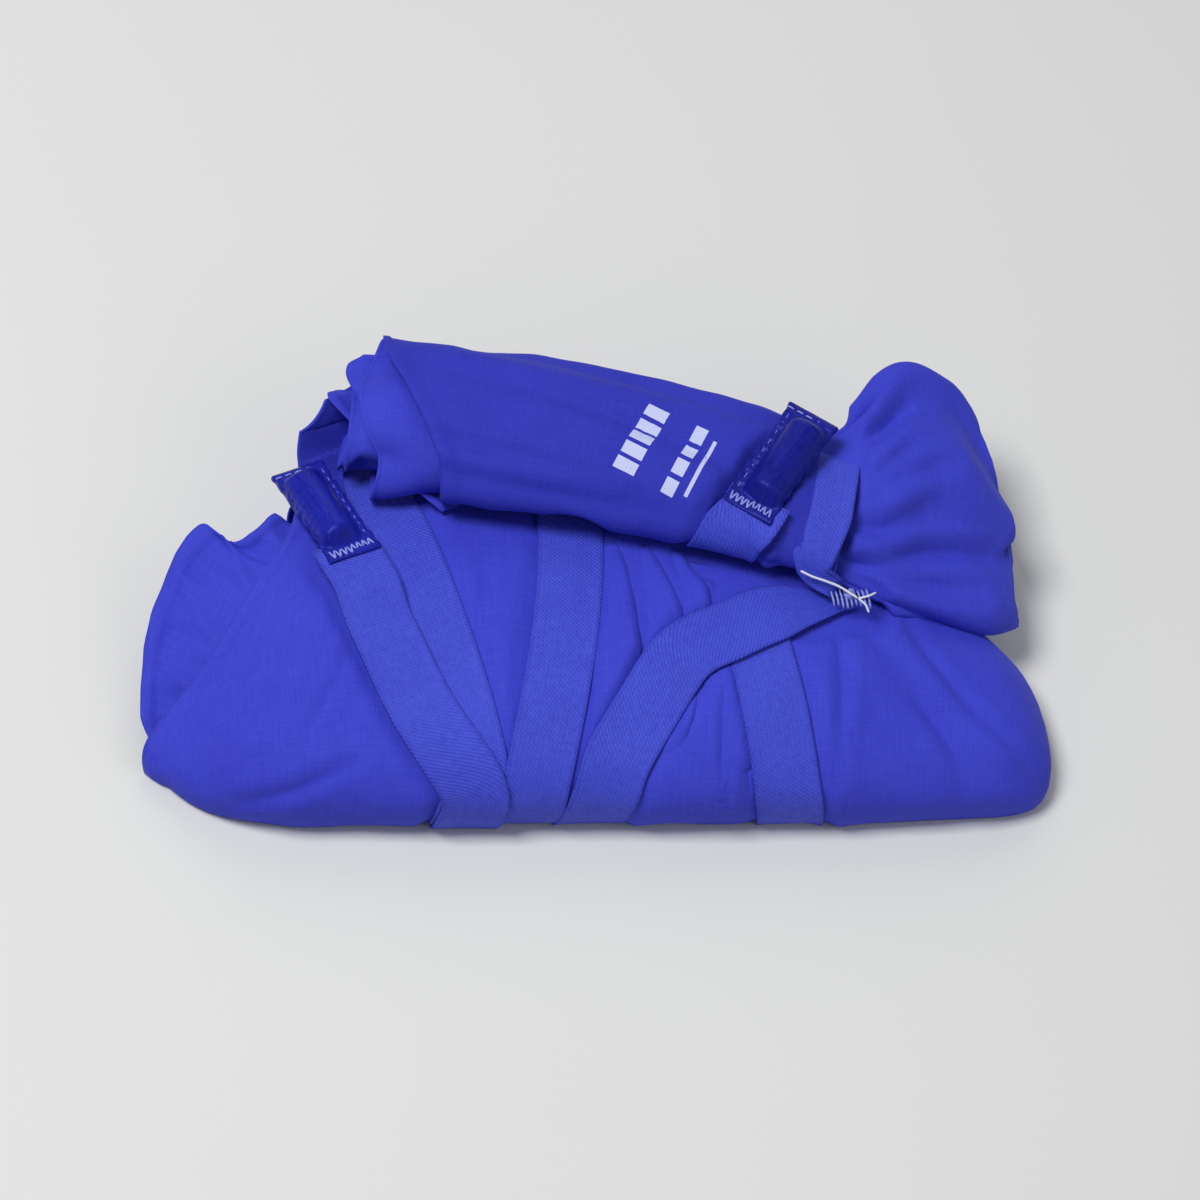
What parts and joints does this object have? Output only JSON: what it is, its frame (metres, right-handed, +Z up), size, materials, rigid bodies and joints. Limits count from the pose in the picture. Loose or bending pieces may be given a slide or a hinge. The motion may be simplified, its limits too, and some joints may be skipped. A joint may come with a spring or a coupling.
{
  "type": "saxophone cleaning swab",
  "caption": "Folded pull-through cleaning swab: thin cloth bundle bound with its own flat tape, with a satin-covered weight on each end of the tape.",
  "frame": {"origin": "bottom centre of the bundle's box, on the surface that it lies on", "axes": "+X along the bundle towards the fan of gathered cloth, +Y towards the roll at the back, +Z up"},
  "size_m": [0.182, 0.0992, 0.0447],
  "materials": {
    "cotton_cloth": "thin plain-woven cotton, royal blue",
    "woven_tape": "flat woven tape with a fine twill rib, royal blue",
    "satin": "glossy satin, deep blue",
    "blue_thread": "sewing thread, blue",
    "pale_thread": "sewing thread, light blue",
    "white_thread": "sewing thread, white",
    "slug_metal": "turned plated steel rod"
  },
  "bodies": {
    "root": {"swab_cloth": "cotton_cloth", "hem_stitching": "blue_thread", "pull_tape": "woven_tape", "gather_stitching": "white_thread", "thread_tail": "white_thread"},
    "weight_a": {"weight_a_sleeve": "satin", "weight_a_slug": "slug_metal", "weight_a_bar_tack": "pale_thread", "weight_a_end_seam": "pale_thread", "weight_a_side_seam": "blue_thread"},
    "weight_b": {"weight_b_sleeve": "satin", "weight_b_slug": "slug_metal", "weight_b_bar_tack": "pale_thread", "weight_b_end_seam": "pale_thread", "weight_b_side_seam": "blue_thread"}
  },
  "joints": [
    {"name": "weight_a_lift", "type": "hinge", "parent": "root", "child": "weight_a", "pos_m": [-0.0487, -0.0006, 0.027], "axis": [0.9205, 0.3907, 0], "range_deg": [0, 140]},
    {"name": "weight_b_lift", "type": "hinge", "parent": "root", "child": "weight_b", "pos_m": [0.0286, 0.0026, 0.037], "axis": [0.809, -0.5878, 0], "range_deg": [0, 140]}
  ]
}
